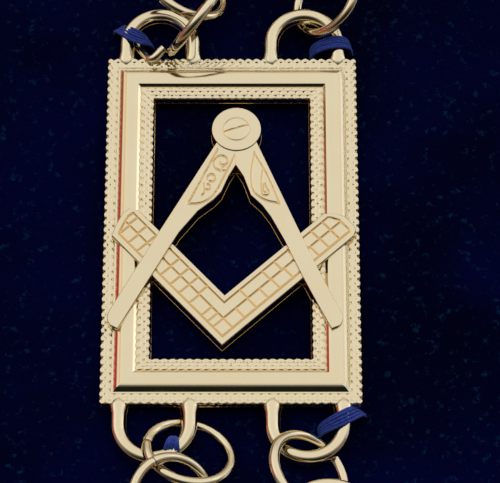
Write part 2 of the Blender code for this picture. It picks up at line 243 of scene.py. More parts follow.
def tube(grid, closed=False):
    """A shell from sections of points round a path; the path closes on itself or has flat ends."""
    stations, around = grid.shape[:2]
    quads = grid_quads(stations, around, closed, True)
    ends = [] if closed else [np.arange(around), (stations - 1) * around + np.arange(around)[::-1]]
    return facing_out(grid.reshape(-1, 3), quads, ends)


def foot(draft, lip):
    """(height, reach beyond the edge) down the foot of a wall that leans out and has a thin lip."""
    return ((0.20, draft), (0.19, draft + lip), (0.05, draft + lip), (0.0, draft))


def slab(top, hollow):
    """A shell with a sculpted top, walls down to z = 0, and a thin lip round the foot of the walls.

    The wall and its lip go out from each edge point along the edge's own normal, which is the edge's
    direction turned a quarter.
    """
    rows, columns = top.shape[:2]
    index = np.arange(rows * columns).reshape(rows, columns)
    edge = np.concatenate([index[0, :-1], index[:-1, -1], index[-1, :0:-1], index[:0:-1, 0]])
    points = top.reshape(-1, 3)
    loop = points[edge]
    ahead = np.roll(loop, -1, 0) - np.roll(loop, 1, 0)
    area = np.sum(loop[:, 0] * np.roll(loop[:, 1], -1) - np.roll(loop[:, 0], -1) * loop[:, 1])
    out = np.stack([ahead[:, 1], -ahead[:, 0], np.zeros(len(loop))], 1) * np.sign(area)
    out /= np.maximum(np.linalg.norm(out, axis=1, keepdims=True), 1e-9)
    rings = []
    for height, reach in foot(draft=0.06, lip=0.03):
        ring = loop + out * reach
        ring[:, 2] = height
        rings.append(ring)
    count = len(edge)
    first = len(points)
    lanes = [edge, *(first + i * count + np.arange(count) for i in range(len(rings)))]
    walls = [
        np.stack([upper, np.roll(upper, -1), np.roll(lower, -1), lower], 1)
        for upper, lower in zip(lanes[:-1], lanes[1:])
    ]
    top_quads = grid_quads(rows, columns)
    a, b, c = (points[top_quads[:, i]] for i in (0, 1, 2))
    if np.cross(b - a, c - a)[:, 2].sum() < 0:
        top_quads = top_quads[:, ::-1]
    walls = np.concatenate(walls)
    rim = lanes[-1]
    if area > 0:
        walls, rim = walls[:, ::-1], rim[::-1]
    everything = np.concatenate([points, *rings])
    # Painted shade: the walls and their lip get the full tone, so they are darker and warmer
    tone = np.concatenate([hollow.ravel(), np.ones(count * len(rings))])
    return Shell(everything, np.concatenate([top_quads, walls]), [rim], tone)


def moved(shell, place):
    return shell._replace(points=carried(shell.points, place))


def linked(name, data):
    """A new object in the scene."""
    made = bpy.data.objects.new(name, data)
    bpy.context.scene.collection.objects.link(made)
    return made


def add_piece(name, shells, finish, stands_for, sharp):
    """One mesh of several closed shells, riding on the collar and standing for its CAD nodes."""
    starts = np.cumsum([0] + [len(shell.points) for shell in shells])
    corners, sizes = [], []
    for first, shell in zip(starts, shells):
        corners.append((shell.quads + first).ravel())
        sizes.append(np.full(len(shell.quads), 4))
        for rim in shell.rims:
            corners.append(rim + first)
            sizes.append(np.array([len(rim)]))
    corners, sizes = np.concatenate(corners), np.concatenate(sizes)
    points = np.concatenate([shell.points for shell in shells]) * MM
    mesh = bpy.data.meshes.new(name)
    mesh.vertices.add(len(points))
    mesh.vertices.foreach_set("co", points.astype(np.float32).ravel())
    mesh.loops.add(len(corners))
    mesh.loops.foreach_set("vertex_index", corners.astype(np.int32))
    mesh.polygons.add(len(sizes))
    mesh.polygons.foreach_set("loop_start", (np.cumsum(sizes) - sizes).astype(np.int32))
    mesh.update(calc_edges=True)
    mesh.validate()
    mesh.shade_smooth()
    mesh.set_sharp_from_angle(angle=radians(sharp))
    # Each point's share of painted shade, for the gilding's colour
    hollow = mesh.attributes.new("hollow", "FLOAT", "POINT")
    values = np.concatenate([shell.hollow for shell in shells])
    hollow.data.foreach_set("value", values.astype(np.float32))
    mesh.materials.append(finish)
    piece = linked(name, mesh)
    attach(piece, "root")
    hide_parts(*stands_for)
    return piece


def add_castings(cast, name, node, finish, sharp):
    """A piece for each plate, of the fine shells for the shown plate and of the coarse ones elsewhere."""
    for side_name, number, place in plates():
        shells = [moved(shell, place) for shell in cast[(side_name, number) == SHOWN]]
        where = f"{side_name}_{number}"
        add_piece(f"{name}_{where}", shells, finish, [f"{node}_{where}"], sharp)


# Frame of a plate


def bead_domes(along, inset, reach, count, rows, half_long, half_wide):
    """Rows of low beads at an even pitch along a bar: each is 1 less the fourth power of the distance.

    The distance is counted in half lengths along the bar and in half widths across it.
    """
    pitch = 2 * (reach - rows[0].inset) / count
    height = np.zeros(np.broadcast(along, inset).shape)
    for row in rows:
        step = (along + reach - rows[0].inset) / pitch + row.offset
        gap = (step - np.round(step)) * pitch
        away = (gap / half_long) ** 2 + ((inset - row.inset) / half_wide) ** 2
        height = np.maximum(height, row.height * np.clip(1 - away**2, 0, 1))
    return height


def edge_fall(inside):
    """How much the edge's rounding lowers a point that far inside the beaded strip."""
    return 0.06 * np.clip(1 - inside / 0.1, 0, 1) ** 2


def bar_profile(fine):
    """(inset from the outer edge, level, which beads) round the bar's section, outer foot first."""
    count = 21 if fine else 11
    outer = np.linspace(0.0, OUTER_BEADS_END, count)
    inner = np.linspace(INNER_BEADS_START, INNER_BEADS_END, count)
    outer_level = BEAD_LEVEL - edge_fall(outer)
    inner_level = np.interp(inner, (INNER_BEADS_START, INNER_BEADS_END), (1.31, 1.0))
    inner_level -= edge_fall(INNER_BEADS_END - inner)
    wall_in = ((0.10, 0.0), (-0.02, 0.05), (-0.02, 0.16), (0.02, 0.22), (0.0, 0.5))
    crown = (
        (1.54, 1.00), (1.73, 1.005), (1.78, 1.025), (1.81, 1.055), (2.21, 1.435), (2.25, 1.465),
        (2.55, 1.605), (2.62, 1.62), (2.67, 1.64), (2.75, 1.655), (3.00, 1.69), (3.25, 1.71),
        (3.52, 1.715), (3.74, 1.70), (4.20, 1.64), (4.27, 1.62), (4.31, 1.588), (4.59, 1.343),
        (4.63, 1.31),
    )  # fmt: skip
    wall_out = ((6.47, 0.72), (6.54, 0.22), (6.59, 0.18), (6.59, 0.05), (6.48, 0.0))
    stretches = (  # 0 has no beads, 1 has the outer ones and 2 has the inner ones
        (wall_in, 0),
        (zip(outer, outer_level), 1),
        (crown, 0),
        (zip(inner, inner_level), 2),
        (wall_out, 0),
    )
    return np.array([(*point, beads) for points, beads in stretches for point in points])


def moulding(sizes, fine):
    """The bar's section carried round four mitred corners.

    A point of a side lies at (half length - inset) times its parameter along it, and at (half width -
    inset) across it. The beads raise it, and between the beads each edge is drawn in by a parabola.
    The outer corners are rounded by drawing a small square of each onto a quarter disc.
    """
    steps = 8 if fine else 4
    inset, level, kind = bar_profile(fine).T
    sides = (  # direction, outwards, half length, half width, beads outside and inside
        ((1, 0), (0, -1), HALF_WIDTH, HALF_LENGTH, 30, 20),
        ((0, 1), (1, 0), HALF_LENGTH, HALF_WIDTH, 45, 36),
        ((-1, 0), (0, 1), HALF_WIDTH, HALF_LENGTH, 30, 20),
        ((0, -1), (-1, 0), HALF_LENGTH, HALF_WIDTH, 45, 36),
    )
    half_long, half_wide = sizes.bead_length / MM / 2, sizes.bead_width / MM / 2
    off_edges = np.clip(np.minimum(inset, np.abs(INNER_BEADS_END - inset)) / 0.3, 0, 1)
    # On the right-hand bar the outer bevel lies a little further out
    further = np.interp(inset, (1.50, 1.81, 2.67, 3.25), (0.0, 0.21, 0.21, 0.0))
    grids, tones = [], []
    for direction, outwards, reach, width, outer_count, inner_count in sides:
        count = outer_count * steps
        share = np.linspace(-1, 1, count, endpoint=False)[:, None]
        along = share * (reach - inset)
        outer = bead_domes(along, inset, reach, outer_count, OUTER_ROWS, half_long, half_wide)
        inner = bead_domes(along, inset, reach, inner_count, INNER_ROWS, half_long, half_wide)
        dome = np.where(kind == 1, outer, np.where(kind == 2, inner, 0.0))
        z = level + sizes.bead_height / MM * dome
        fade = np.clip((1 - np.abs(share)) * reach / 1.2, 0, 1)
        scallops = edge_scallops(along, inset, reach, outer_count, inner_count)
        pulled = inset + fade * (np.where(level > 0.4, scallops, 0.0) - further * (outwards == (1, 0)))
        plan = along[..., None] * np.array(direction) + (width - pulled)[..., None] * np.array(outwards)
        grids.append(np.dstack([plan, z]))
        # Painted shade: the tone darkens the gilding between the beads, on the walls and feet, and along a
        # thin line on the crown, strongest on the left bar
        between = off_edges * np.clip(1 - 3 * dome, 0, 1)
        wear_and_shade = (0.8 if outwards == (-1, 0) else 0.2) * (np.abs(inset - SHADE_LINE_INSET) < 0.08)
        tones.append(np.where(kind > 0, between, np.where(level < 0.6, 1.0, wear_and_shade)))
    grid = np.concatenate(grids)
    corner = 0.55
    past = np.abs(grid[..., :2]) - np.array((HALF_WIDTH - corner, HALF_LENGTH - corner))
    both = (past > 0).all(-1, keepdims=True)
    length = np.maximum(np.linalg.norm(past, axis=-1, keepdims=True), 1e-6)
    rounded = past * past.max(-1, keepdims=True) / length
    grid[..., :2] += np.where(both, (rounded - past) * np.sign(grid[..., :2]), 0.0)
    shell = tube(grid, closed=True)
    return shell._replace(hollow=np.concatenate(tones).ravel())


def edge_scallops(along, inset, reach, outer_count, inner_count):
    """How far a point near an edge is drawn in: a parabola, deepest halfway between two beads."""
    pulls = []
    for rows, count in ((OUTER_ROWS, outer_count), (INNER_ROWS, inner_count)):
        step = (along + reach - rows[0].inset) * count / (2 * (reach - rows[0].inset))
        pulls.append(0.14 * (2 * (step - np.round(step))) ** 2)
    near_outer = np.clip(1 - inset / 0.35, 0, 1)
    near_inner = np.clip(1 - (BAR_WIDTH - inset) / 0.35, 0, 1)
    return pulls[0] * near_outer - pulls[1] * near_inner


def cast_loop(row, end, fine):
    """A U of cast wire: about half an ellipse on a thin foot, carried up a limb, round an arc and down.

    The first and last stations sink into the frame, where the section shrinks by their sizes.
    """
    foot_height = 0.30
    angles = np.linspace(0, pi, 33 if fine else 17)
    section = np.linspace(0, pi, 15 if fine else 9)
    out = np.concatenate([np.cos(section), (-1.02, -1.06, -1.08, -1.04, 0.95, 1.01, 1.01, 1.0)])
    up = foot_height + (LOOP_THICKNESS - foot_height) * np.sin(section) ** 0.85
    up = np.concatenate([up, (0.26, 0.22, 0.06, 0.0, 0.0, 0.05, 0.17, 0.24)])
    root = np.array((1.45, 1.2, 0.95, 0.7, 0.4, 0.1, -0.4, -1.2))
    swell = np.array((0.50, 0.62, 0.74, 0.84, 0.93, 0.98, 1.01, 1.0))
    path = [(-LOOP_RADIUS, -depth, -1.0, 0.0, size) for depth, size in zip(root, swell)]
    path += [
        (-LOOP_RADIUS * cos(a), LOOP_LIMB + LOOP_RADIUS * sin(a), -cos(a), sin(a), 1.0) for a in angles
    ]
    path += [(LOOP_RADIUS, y, 1.0, 0.0, size) for _, y, _, _, size in path[len(root) - 1 :: -1]]
    x, y, out_x, out_y, size = np.array(path).T[..., None]
    fillet = 1.0 + 0.30 * np.clip(1 - np.abs(y) / 1.3, 0, 1) ** 2
    reach = out * np.sqrt(size) * fillet
    across, along = row * ROW_OFFSET + x + reach * out_x, end * (HALF_LENGTH + y + reach * out_y)
    grid = np.dstack([across, along, up * size + 0 * x])
    # Painted shade: the foot of the loop, low against the frame, gets the darker tone
    return tube(grid)._replace(hollow=np.where(grid[..., 2] < 0.28, 1.0, 0.0).ravel())


# Emblem


def groove(distance, half_width, depth):
    """(how far it sinks, share) of a round-bottomed groove: the share goes from 1 in its middle to 0."""
    share = np.clip(1 - (distance / half_width) ** 2, 0, 1)
    return depth * share**2, share


def softened(distance, radius):
    """How much an edge's rounding lowers a point that far inside the outline: a circle's arc."""
    inside = np.clip(radius - distance, 0, radius)
    return radius - np.sqrt(radius**2 - inside**2)


def close_to_edges(length, step, fine_edge):
    """Stations from 0 to length, an even step apart, with a few more close to each end."""
    near = np.array((0.0, 0.04, 0.10, 0.18)) if fine_edge else np.array((0.0, 0.12))
    middle = np.linspace(0.3, length - 0.3, max(2, round((length - 0.6) / step) + 1))
    return np.concatenate([near, middle, length - near[::-1]])


# Where each arm's two rows of bricks are jointed, by the distance from the square's corner
LEFT_JOINTS = {
    "outer": (2.75, 3.8, 5.0, 7.4, 9.4, 11.1, 13.0, 14.9, 17.7, 19.4, 21.2),
    "inner": (7.6, 9.4, 11.2, 13.1, 15.2, 17.7, 19.6, 21.4),
}
RIGHT_JOINTS = {
    "outer": (2.75, 4.9, 7.0, 9.1, 11.2, 13.5, 15.6, 18.2, 20.0, 21.9),
    "inner": (7.1, 11.1, 13.2, 15.7, 17.8, 19.9, 21.9),
}
# Where each arm ends, by the distance in from its outer edge
LEFT_END = ((0.0, 1.2, 2.4, 3.5, 4.4, 5.16), (21.7, 22.4, 22.9, 23.3, 23.2, 22.1))
RIGHT_END = ((0.0, 0.5, 1.2, 3.0, 4.1, 5.16), (23.5, 24.4, 24.7, 24.7, 24.1, 22.9))


def square_shell(sizes, fine):
    """Two arms at right angles, as one strip with a mitred corner.

    A point is s along an arm and t in from its outer edge: s runs from the mitre, where s = t, to the
    arm's end. The top sinks in grooves along the border, between the two rows of bricks and at each joint.
    """
    step = 0.1 if fine else 0.21
    across = close_to_edges(ARM_WIDTH, step, fine)
    shares = close_to_edges(ARM_LENGTH, step, fine) / ARM_LENGTH
    border, middle, rim = 0.92, 2.76, 0.80  # lines' insets: outer and end, between the rows, inner
    pillow_height = 0.035
    grids, tones = [], []
    for sign, end, joints in ((-1, LEFT_END, LEFT_JOINTS), (1, RIGHT_END, RIGHT_JOINTS)):
        t = across[None, :]
        stop = np.interp(t, *end)
        s = t + shares[:, None] * (stop - t)
        left_over = stop - s
        inside = np.minimum(np.minimum(t / border, (ARM_WIDTH - t) / rim), left_over / border)
        lines = np.abs(inside - 1) * 0.88
        outer = np.abs(s[..., None] - np.array(joints["outer"])).min(-1)
        inner = np.abs(s[..., None] - np.array(joints["inner"])).min(-1)
        between = np.minimum(np.where(t < middle, outer, inner), np.abs(t - middle) + 0 * s)
        lines = np.minimum(lines, np.where(inside > 1, between, FAR))
        # The groove's share is painted shade: it darkens the gilding in the engraved lines
        sunk, tone = groove(lines, 0.20, sizes.engraving_depth / MM)
        pillow = pillow_height * (1 - np.clip(1 - lines / 0.5, 0, 1) ** 2)
        edge = np.minimum(np.minimum(t, ARM_WIDTH - t), left_over)
        z = ARM_TOP - pillow_height + pillow - sunk - softened(edge, 0.19)
        along = np.array((sign, 1.0)) / np.sqrt(2)
        inward = np.array((-sign, 1.0)) / np.sqrt(2)
        plan = SQUARE_CORNER + s[..., None] * along + (t + 0 * s)[..., None] * inward
        grid = np.dstack([plan, z])
        # The left arm runs back to the mitre, which the right arm then doesn't repeat
        grids.append(grid[::-1] if sign < 0 else grid[1:])
        tones.append(tone[::-1] if sign < 0 else tone[1:])
    return slab(np.concatenate(grids), np.concatenate(tones))


# A leg: where its outer edge starts and how far that leans, its length, and how far out its tip bends
LEG_LINES = {
    "left": {"edge": (-1.56, 13.0), "lean": radians(26.65), "length": 32.4, "bend": 0.0},
    "right": {"edge": (2.11, 13.0), "lean": radians(25.2), "length": 31.0, "bend": 0.62},
}
# Its width, by the distance down it
LEG_WIDTHS = {
    "left": ((0.0, 4.0, 6.0, 8.5, 10.0, 12.5, 16.5, 33.0), (2.0, 4.0, 4.0, 4.3, 4.0, 3.0, 2.4, 2.3)),
    "right": ((0.0, 4.0, 6.0, 9.0, 11.0, 13.0, 17.0, 33.0), (2.4, 4.0, 3.7, 3.9, 3.1, 2.7, 2.4, 2.3)),
}


def scroll(x, y, radius, start, sweep, shrink=0.0):
    """A spiral about (x, y): its angle changes evenly by sweep and its radius falls by the share shrink."""
    share = np.linspace(0, 1, 4 + round(abs(sweep) / 40))
    angle = np.radians(start + sweep * share)
    reach = radius * (1 - shrink * share)
    return np.stack([x + reach * np.cos(angle), y + reach * np.sin(angle)], 1)


# Each leaf has a border down both sides, and scrolls inside it
ENGRAVING = {
    "left": (
        ((-2.3, 10.0), (-5.8, 1.7)),
        ((0.0, 9.2), (-1.6, 5.0), (-2.8, 2.7), (-4.2, 1.7), (-5.8, 1.5)),
        ((-0.7, 7.4), (-1.9, 4.3)),
        scroll(-1.6, 8.05, 1.4, -95, -420, 0.8),
        scroll(-1.2, 7.1, 0.4, 110, 250),
        scroll(-2.95, 5.55, 0.55, 200, -320),
        ((-3.9, 4.7), (-3.8, 3.4), (-4.1, 2.9)),
        scroll(-3.4, 4.15, 0.4, 100, -270),
    ),
    "right": (
        ((2.6, 9.7), (2.3, 6.5), (2.7, 4.0), (4.2, 2.6), (6.3, 2.1)),
        ((2.6, 9.7), (4.6, 6.2), (6.3, 2.1)),
        ((3.8, 7.0), (3.7, 5.3), (3.85, 3.8)),
        scroll(4.35, 3.75, 0.5, 180, 230),
        ((4.7, 4.1), (4.3, 5.0)),
        ((4.1, 4.9), (4.1, 4.0), (4.4, 3.7)),
    ),
}


def smooth_line(points):
    """A curve through the points: at each one it runs parallel to the chord between its neighbours."""
    near = np.array(points)
    near = np.concatenate([2 * near[:1] - near[1:2], near, 2 * near[-1:] - near[-2:-1]])
    u = np.linspace(0, 1, 4, endpoint=False)[:, None, None]
    a, b, c, d = near[:-3], near[1:-2], near[2:-1], near[3:]
    curve = b + ((c - a) * u + (2 * a - 5 * b + 4 * c - d) * u**2 + (3 * b - a - 3 * c + d) * u**3) / 2
    return np.concatenate([curve.transpose(1, 0, 2).reshape(-1, near.shape[1]), near[-2:-1]])


def distance_to_lines(plan, lines):
    """The distance from each point to the nearest of several curves, by dropping it on each short piece."""
    nearest = np.full(plan.shape[:-1], FAR)
    for line in map(smooth_line, lines):
        for start, piece in zip(line[:-1], np.diff(line, axis=0)):
            share = np.clip((plan - start) @ piece / (piece @ piece), 0, 1)
            away = plan - start - share[..., None] * piece
            nearest = np.minimum(nearest, np.linalg.norm(away, axis=-1))
    return nearest


def leg_shell(side_name, sizes, fine):
    """A leg of the compasses with the leaf-shaped shoulder on its inner side.

    A point is s down the outer edge and a share of the width in from it. The outer edge curves in near
    the tip like a quarter of an ellipse. The engraved lines sink the leaf's top between raised banks.
    Below the leaf the leg bends out by a parabola, and its top falls.
    """
    sign = SIDES[side_name]
    line = LEG_LINES[side_name]
    lean, length = line["lean"], line["length"]
    down = np.array((sign * sin(lean), -cos(lean)))
    inward = np.array((-sign * cos(lean), -sin(lean)))
    step = 0.1 if fine else 0.2
    tip, leaf_width = 2.0, 4.0
    near_tip = length - tip * (1 - np.sin(np.linspace(0, pi / 2, 14 if fine else 8)))
    s = np.concatenate([np.arange(0.6, 13.2, step), np.linspace(13.6, length - tip - 0.3, 30), near_tip])
    width = np.interp(s, *LEG_WIDTHS[side_name])
    curve = 1 - np.sqrt(np.clip(1 - (np.clip(s - length + tip, 0, tip) / tip) ** 2, 0, 1))
    outer = 0.62 * width * curve
    shares = close_to_edges(leaf_width, step, fine) / leaf_width
    inset = outer[:, None] + shares * (width - outer)[:, None]
    low = np.clip((s - 16.5) / 14.5, 0, 1)[:, None]
    inset = inset - line["bend"] * low**2
    plan = np.array(line["edge"]) + s[:, None, None] * down + inset[..., None] * inward
    on_leaf = plan[:, :, 1] > 0.5
    lines = np.where(on_leaf, distance_to_lines(plan, ENGRAVING[side_name]), FAR)
    # The groove's share is painted shade: it darkens the gilding in the engraved lines
    sunk, tone = groove(lines, 0.18, 1.1 * sizes.engraving_depth / MM)
    bank = 0.036 * np.exp(-(((lines - 0.30) / 0.11) ** 2))
    edge = shares * (width - outer)[:, None]
    edge = np.minimum(edge, edge[:, ::-1])
    edge = np.minimum(edge, (length - s)[:, None] + 0.02)
    z = LEG_TOP - 0.4 * low**1.5 - softened(edge, 0.18) - sunk + bank * np.clip(edge / 0.5, 0, 1)
    return slab(np.dstack([plan, z]), 0.85 * tone)


def head_shell(fine):
    """A round rivet head on rings and spokes, with a groove round its button and a slot across that.

    The button's dome is half an ellipse, and the dish of the rim round it is a parabola.
    """
    spokes = 128 if fine else 56
    step = 0.09 if fine else 0.17
    near_edge = HEAD_RADIUS - np.array((0.22, 0.14, 0.08, 0.03, 0.0))
    radii = np.concatenate([np.arange(0.02, HEAD_RADIUS - 0.3, step), near_edge])
    angles = np.linspace(0, 2 * pi, spokes, endpoint=False)
    radius, angle = np.meshgrid(radii, angles, indexing="ij")
    x, y = radius * np.cos(angle), radius * np.sin(angle)
    slot_turn = radians(21)
    slot = np.abs(y * cos(slot_turn) - x * sin(slot_turn) - 0.12)
    ring, ring_tone = groove(np.abs(radius - 1.78), 0.14, 0.07)
    cut, cut_tone = groove(np.where(radius < 1.8, slot, FAR), 0.15, 0.08)
    button = 0.15 * np.sqrt(np.clip(1 - (radius / 1.85) ** 2, 0, 1))
    dish = 0.05 * np.clip((radius - 1.9) / 0.9, 0, 1) ** 2
    z = HEAD_TOP - 0.15 + button + dish - ring - cut - softened(HEAD_RADIUS - radius, 0.16)
    # The ring groove and the slot are painted darker as shade, and so are the walls below
    tone = np.maximum(0.5 * ring_tone, cut_tone)
    walls = foot(draft=0.05, lip=0.02)
    wall_r = np.array([HEAD_RADIUS + reach for _, reach in walls])[:, None] + 0 * angles
    wall_z = np.array([height for height, _ in walls])[:, None] + 0 * angles
    every_r, every_z = np.concatenate([radius, wall_r]), np.concatenate([z, wall_z])
    plan = HEAD_CENTRE + every_r[..., None] * np.stack([np.cos(angles), np.sin(angles)], 1)
    shell = tube(np.dstack([plan, every_z]))
    return shell._replace(hollow=np.concatenate([tone, 1 + 0 * wall_z]).ravel())


# Rings


def ring_shell(place, around, across, cut, radius=RING_RADIUS, wire=RING_WIRE):
    """Round wire bent to a circle: its middle runs round the circle and its section is a circle.

    At the angle of its cut it has a fine gap, where the wire's two flat ends meet.
    """
    half_gap = 0.055 / radius
    angle = radians(cut) + np.linspace(half_gap, 2 * pi - half_gap, around)[:, None]
    at = np.linspace(0, 2 * pi, across, endpoint=False)[None, :]
    size = np.full(around, wire)
    size[[0, -1]] *= 0.93
    reach = radius + size[:, None] * np.cos(at)
    grid = np.dstack([reach * np.cos(angle), reach * np.sin(angle), size[:, None] * np.sin(at)])
    return moved(tube(grid), place)


def wire_shell(path, side, radius, around):
    """Round wire along a path: at each place a circle of side and of what is square to it and the path."""
    over = np.cross(side, unit(np.gradient(path, axis=0)))
    at = np.linspace(0, 2 * pi, around, endpoint=False)[None, :, None]
    return tube(path[:, None] + radius * (np.cos(at) * side[:, None] + np.sin(at) * over[:, None]))


# The loose end of a jump ring in the shown plate's loop: it comes from under the limb and is cut square
LOOSE_END = ((-14.2, 30.4, -0.7), (-12.3, 27.2, 0.2), (-11.0, 25.5, 1.4), (-9.3, 26.8, 2.2))


def loose_end_shell():
    """Wire bent along a curve through the places, a little thinner where it is cut."""
    path = smooth_line(LOOSE_END)
    side = unit(np.cross(np.gradient(path, axis=0), (0.0, 0.0, 1.0)))
    radius = np.full((len(path), 1, 1), 0.62)
    radius[-1] = 0.57
    return wire_shell(path, side, radius, 24)


def run_shells(start, finish, rings, draws):
    """Rings in a row between two points: (distance, rise, lean) of each, with a little give."""
    shells = []
    for distance, rise, lean in rings:
        place = level_frame(start, finish) @ shift(distance, draws.uniform(-0.12, 0.12), rise)
        place = place @ turn("x", radians(lean + draws.uniform(-1.5, 1.5)))
        shells.append(ring_shell(place, 44, 14, draws.uniform(0, 360)))
    return shells


def gap_rings(start, finish):
    """The three rings of a row between the arcs of two loops; the middle one leans back."""
    length = np.linalg.norm(finish - start)
    end = END_OFFSET + END_GIVE * (length - CLOSEST_GAP)
    rise = max(0.0, (RIDE_UP_GAP - length) / 2)
    middle = (length / 2, rise, -22 if rise > 0.7 else -17)
    return ((end, END_RISE, END_LEAN), middle, (length - end, END_RISE, END_LEAN))


def point_rings(length):
    """The rings of a row that runs on to the ring at the front point, leaning this way and that."""
    first = POINT_ROW_OFFSET
    reach = length - RING_RADIUS - first
    steps = max(1, ceil(reach / POINT_ROW_STEP))
    rings = [(first, END_RISE, END_LEAN)]
    rings += [(first + reach * i / steps, 0.0, -18 if i % 2 else 18) for i in range(1, steps)]
    return [*rings, (first + reach, 0.3, 28)]


def point_ring_middle():
    y = NECK_CENTRE_Y - NECK_RADIUS / sin(POINT_ANGLE) + POINT_RING_ABOVE
    return np.array((0.0, y, PLATE_Z + LOOP_THICKNESS / 2))


def chain_rows():
    """(name of the run's node, start, finish, rings) of every row of rings but the single ones."""
    places = {(side_name, number): place for side_name, number, place in plates()}
    for label, row in (("inner", 1), ("outer", -1)):
        start, finish = loop_arc(places["left", 1], row, 1), loop_arc(places["right", 1], -row, 1)
        yield f"rings_nape_{label}", start, finish, gap_rings(start, finish)
    for side_name, side in SIDES.items():
        for number in range(1, PLATES_PER_SIDE):
            if side_name == SHOWN[0] and number in (SHOWN[1] - 1, SHOWN[1]):
                continue
            for label, row in (("inner", -side), ("outer", side)):
                start = loop_arc(places[side_name, number], row, -1)
                finish = loop_arc(places[side_name, number + 1], row, 1)
                yield f"rings_{side_name}_{number}_{label}", start, finish, gap_rings(start, finish)
        for label, row in (("inner", -side), ("outer", side)):
            start = loop_arc(places[side_name, PLATES_PER_SIDE], row, -1)
            short = POINT_RING_RADIUS - POINT_RING_WIRE - POINT_RING_CLEAR
            finish = point_ring_middle() - short * unit(point_ring_middle() - start)
            rings = point_rings(np.linalg.norm(finish - start))
            yield f"rings_point_{side_name}_{label}", start, finish, rings


# Cloth and thread


def velvet_shell(sizes):
    """The band as a closed sheet: a section across it, carried along the collar's line.

    A station is a line from the neck's edge to the outer edge, turned about the neck's centre along
    the nape. On a limb it moves evenly to the line on the axis where the limbs meet. The top is the
    pile's height, rounded at the edges, and a few long low waves lift it.
    """
    pile = BACKING_TOP + sizes.pile_height / MM
    edge = 1.2
    bend = np.linspace(0, pi / 2, 6)
    rounded, risen = edge * (1 - np.cos(bend)), edge * np.sin(bend)
    level = np.linspace(edge, 2 * BAND_RIM - edge, 66)[1:-1]
    across = np.concatenate([rounded, level, 2 * BAND_RIM - rounded[::-1]])
    height = pile - edge + np.concatenate([risen, np.full(len(level), edge), risen[::-1]])
    under = np.array((2 * BAND_RIM, 2 * BAND_RIM - 0.6, BAND_RIM, 0.6, 0.0))
    under_z = np.array((0.6, 0.0, 0.0, 0.0, 0.6))
    radius = NECK_RADIUS - BAND_RIM + np.concatenate([across, under])
    z = np.concatenate([height, under_z])
    angles = np.linspace(-NAPE_ARC, NAPE_ARC, 340)[:, None]
    arc = np.dstack([radius * np.sin(angles), NECK_CENTRE_Y + radius * np.cos(angles), z + 0 * angles])
    tip = np.stack([0 * radius, NECK_CENTRE_Y - radius / sin(POINT_ANGLE), z], 1)
    share = np.linspace(0, 1, 130)[1:, None, None]
    down = arc[-1] + share * (tip - arc[-1])
    back = tip + share[:-1] * (arc[0] - tip)
    grid = np.concatenate([arc, down, back])
    top = np.arange(len(radius)) < len(across)
    inside = np.clip(np.minimum(across, 2 * BAND_RIM - across) / 12, 0, 1)
    x, y = grid[:, : len(across), 0], grid[:, : len(across), 1]
    waves = np.sin(x / 23 + 1.3 * np.sin(y / 41)) + np.sin(y / 17 - x / 47) + 0.5 * np.sin(x / 9 + y / 11)
    grid[:, top, 2] += 0.07 * inside * waves
    return tube(grid, closed=True)


# Each stitch over a limb of a loop: where it comes up, where it lies on the limb, where it goes down,
# and how far its threads spread at either end
Stitch = namedtuple("Stitch", "start middle stop spread_start spread_stop")
STITCHES = (
    Stitch((-15.8, 31.8), (-13.45, 29.2), (-11.2, 29.4), 1.0, 0.9),
    Stitch((10.7, 27.9), (14.2, 28.1), (16.4, 28.5), 0.9, 0.9),
    Stitch((-7.3, -29.6), (-7.45, -31.5), (-7.6, -32.9), 0.25, 1.4),
    Stitch((11.2, -28.8), (14.3, -27.9), (16.8, -25.8), 0.8, 1.1),
)


def stitch_shells(sizes, draws):
    """Five threads side by side over each limb: each rises from the pile, bends over and dives again.

    Its plan is a parabola through the three places. Along its share u its height is a sine raised to a
    small power, which has steep ends and a flat top.
    """
    radius = sizes.thread_width / MM / 2
    u = np.linspace(0, 1, 21)[:, None]
    low = BACKING_TOP - PLATE_Z + 0.4
    shells = []
    for stitch in STITCHES:
        start, middle, stop = (np.array(place) for place in stitch[:3])
        control = 2 * middle - (start + stop) / 2
        line = (1 - u) ** 2 * start + 2 * u * (1 - u) * control + u**2 * stop
        ahead = unit(np.gradient(line, axis=0))
        sideways = np.column_stack([-ahead[:, 1], ahead[:, 0]])
        spread = (1 - u) * stitch.spread_start + u * stitch.spread_stop + 0.15 * np.sin(pi * u)
        for k in range(5):
            offset = (k - 2) * 1.75 * radius + draws.uniform(-0.05, 0.05)
            height = low + (LOOP_THICKNESS + radius - low + 0.02) * np.sin(pi * u) ** 0.42
            path = np.column_stack([line + offset * spread * sideways, height])
            shells.append(wire_shell(path, np.column_stack([sideways, 0 * u]), radius, 10))
    return shells


# Materials


class Value:
    """A socket, or a number, in an expression: each operation on it adds one Math node."""

    def __init__(self, nodes, socket):
        self.nodes, self.socket = nodes, socket

    def math(self, operation, *values):
        return self.nodes.add("ShaderNodeMath", {"operation": operation}, values)

    def __add__(self, other):
        return self.math("ADD", self, other)

    __radd__ = __add__

    def __sub__(self, other):
        return self.math("SUBTRACT", self, other)

    def __rsub__(self, other):
        return self.math("SUBTRACT", other, self)

    def __mul__(self, other):
        return self.math("MULTIPLY", self, other)

    __rmul__ = __mul__

    def most(self, other):
        return self.math("MAXIMUM", self, other)

    def between(self, low, high):
        """0 below low, 1 above high, and a smooth rise between them."""
        values = {"Value": self, "From Min": low, "From Max": high}
        return self.nodes.add("ShaderNodeMapRange", {"interpolation_type": "SMOOTHSTEP"}, values)


